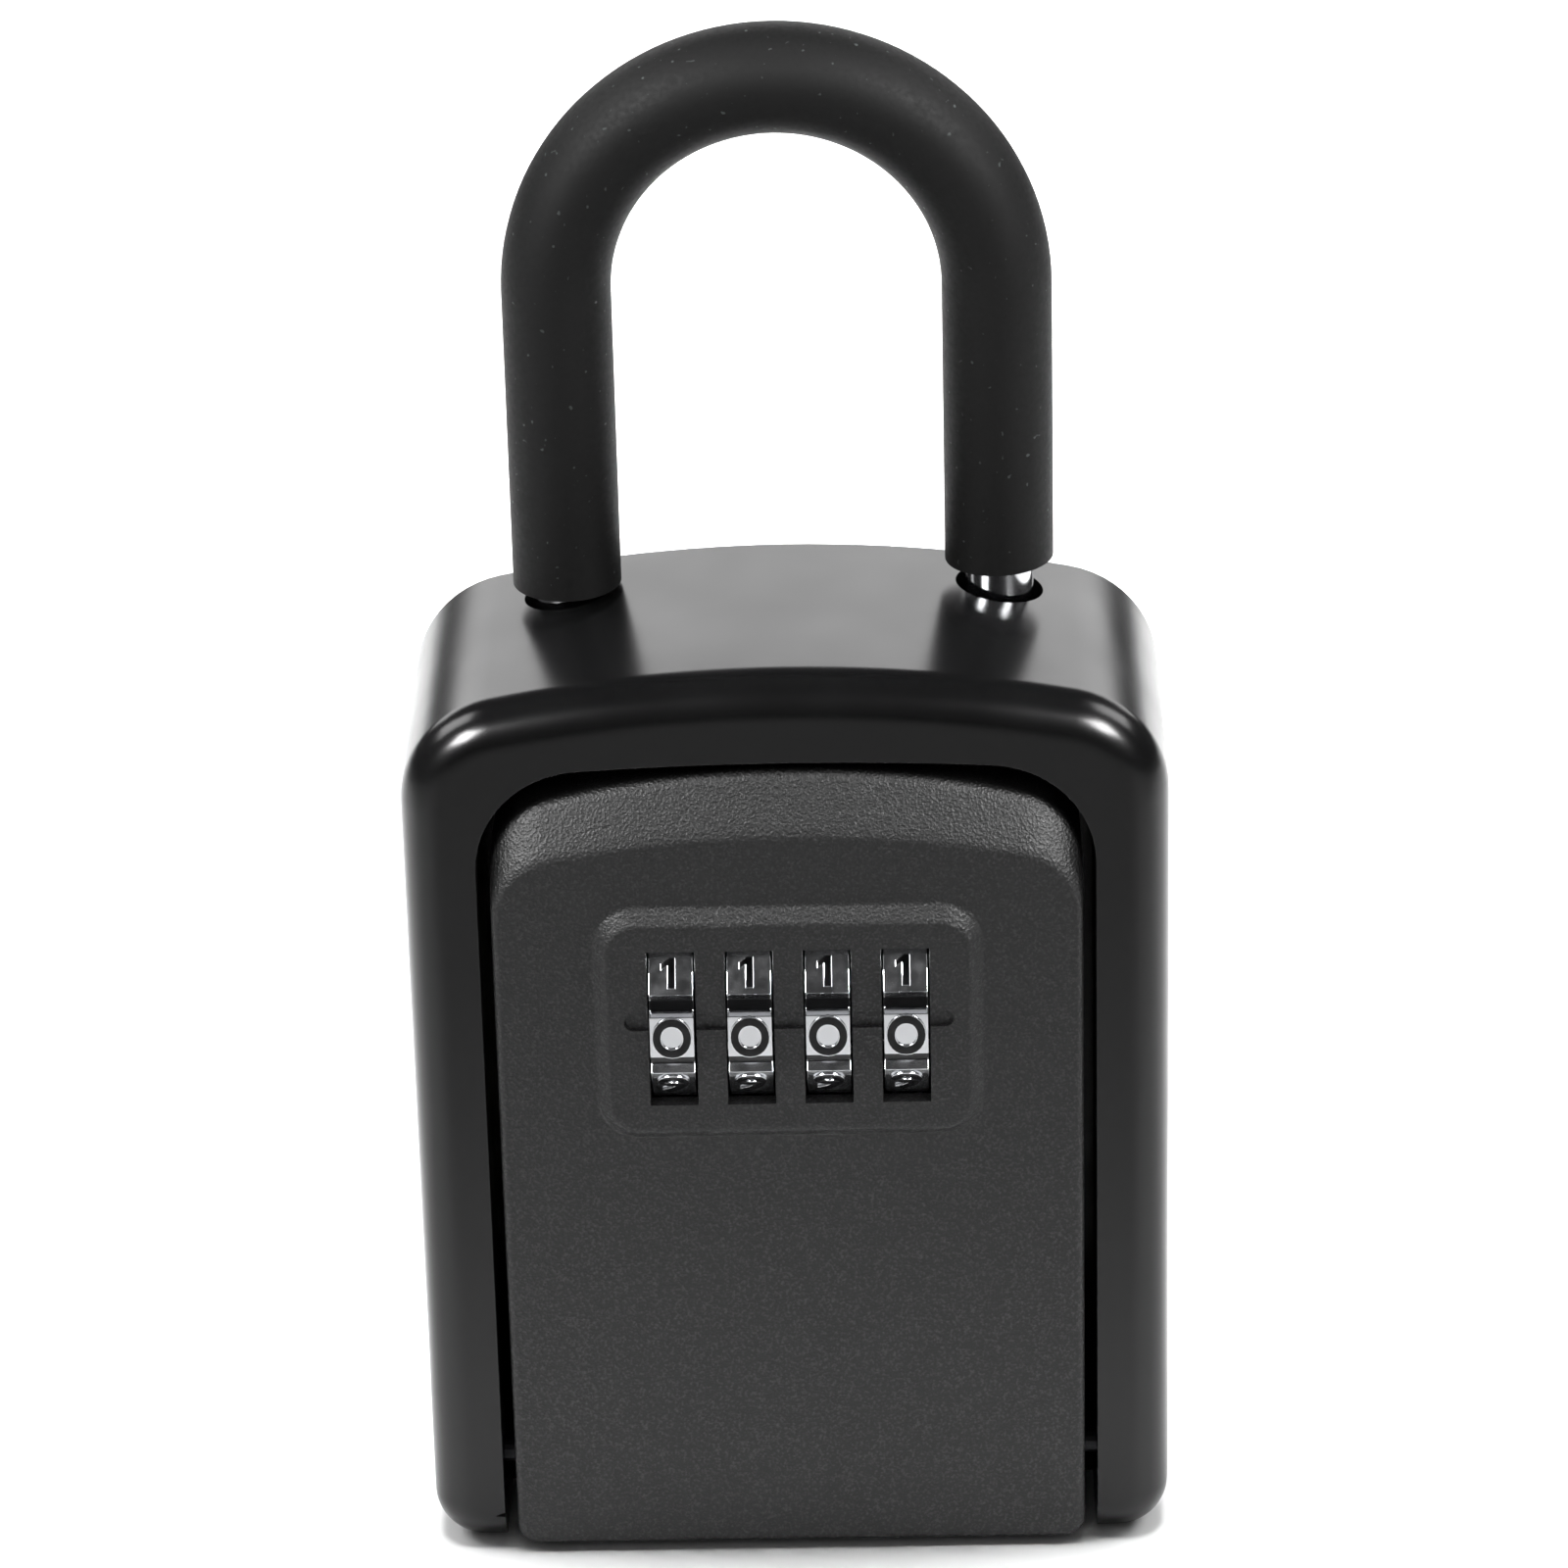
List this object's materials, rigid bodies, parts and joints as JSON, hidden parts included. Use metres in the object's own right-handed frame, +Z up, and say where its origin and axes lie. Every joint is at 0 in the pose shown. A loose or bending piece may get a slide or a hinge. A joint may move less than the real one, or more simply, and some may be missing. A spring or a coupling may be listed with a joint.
{
  "type": "key lock box",
  "caption": "Portable key safe: black die-cast case with a drop-down door, number dials and a lift-out shackle in a soft sleeve.",
  "frame": {"origin": "centre of the bounding box at the level of the case's underside", "axes": "+X right and +Z up as the dials are read; the dials face -Y and the flat back faces +Y"},
  "size_m": [0.088, 0.0442, 0.1813],
  "materials": {
    "case_paint": "semi-gloss black powder coat",
    "door_paint": "fine-textured matte black coat",
    "chrome": "polished",
    "dial_metal": "dark polished nickel with embossed digits",
    "steel": "zinc-plated",
    "black_steel": "black oxide",
    "spring_steel": "bright",
    "vinyl": "matte black soft vinyl",
    "plastic": "matte black",
    "brass": "satin"
  },
  "bodies": {
    "case": {"case_shell": "case_paint", "shackle_bracket": "steel", "bracket_screw_left": "steel", "bracket_screw_right": "steel", "hinge_pin_left": "black_steel", "hinge_pin_right": "black_steel"},
    "door": {"door_cover": "door_paint", "door_inner_cover": "plastic", "cover_screw_1": "steel", "cover_screw_2": "steel", "cover_screw_3": "steel", "cover_screw_4": "steel", "dial_frame": "steel", "dial_spindle": "steel", "spindle_clip": "spring_steel", "spindle_spring": "spring_steel", "spindle_spacer": "brass", "dial_washer_1": "brass", "dial_washer_2": "brass", "dial_washer_3": "brass", "detent_spring": "spring_steel"},
    "bolt": {"lock_bolt": "steel"},
    "code_lever": {"code_change_lever": "plastic"},
    "shackle": {"shackle_rod": "chrome", "shackle_sleeve": "vinyl", "shackle_retaining_ring": "spring_steel"},
    "latch": {"shackle_latch": "steel", "latch_knob": "plastic"},
    "dial_1": {"dial_wheel_1": "dial_metal", "dial_hub_1": "plastic"},
    "dial_2": {"dial_wheel_2": "dial_metal", "dial_hub_2": "plastic"},
    "dial_3": {"dial_wheel_3": "dial_metal", "dial_hub_3": "plastic"},
    "dial_4": {"dial_wheel_4": "dial_metal", "dial_hub_4": "plastic"}
  },
  "joints": [
    {"name": "door_hinge", "type": "hinge", "parent": "case", "child": "door", "pos_m": [0, -0.01287, 0.011], "axis": [1, 0, 0], "range_deg": [0, 100]},
    {"name": "bolt_slide", "type": "slide", "parent": "door", "child": "bolt", "axis": [0, 0, 1], "range_m": [0, 0.0045]},
    {"name": "code_lever_slide", "type": "slide", "parent": "door", "child": "code_lever", "axis": [1, 0, 0], "range_m": [0, 0.003]},
    {"name": "shackle_lift", "type": "slide", "parent": "case", "child": "shackle", "axis": [0, 0, 1], "range_m": [0, 0.018]},
    {"name": "latch_slide", "type": "slide", "parent": "case", "child": "latch", "axis": [-1, 0, 0], "range_m": [0, 0.009]},
    {"name": "dial_1_spin", "type": "hinge", "parent": "door", "child": "dial_1", "pos_m": [-0.01347, -0.01002, 0.07115], "axis": [1, 0, 0], "continuous": true},
    {"name": "dial_2_spin", "type": "hinge", "parent": "door", "child": "dial_2", "pos_m": [-0.00449, -0.01002, 0.07115], "axis": [1, 0, 0], "continuous": true},
    {"name": "dial_3_spin", "type": "hinge", "parent": "door", "child": "dial_3", "pos_m": [0.00449, -0.01002, 0.07115], "axis": [1, 0, 0], "continuous": true},
    {"name": "dial_4_spin", "type": "hinge", "parent": "door", "child": "dial_4", "pos_m": [0.01347, -0.01002, 0.07115], "axis": [1, 0, 0], "continuous": true}
  ],
  "couplings": [
    {"joint": "latch_slide", "follows": "shackle_lift", "ratio": 0.5}
  ]
}
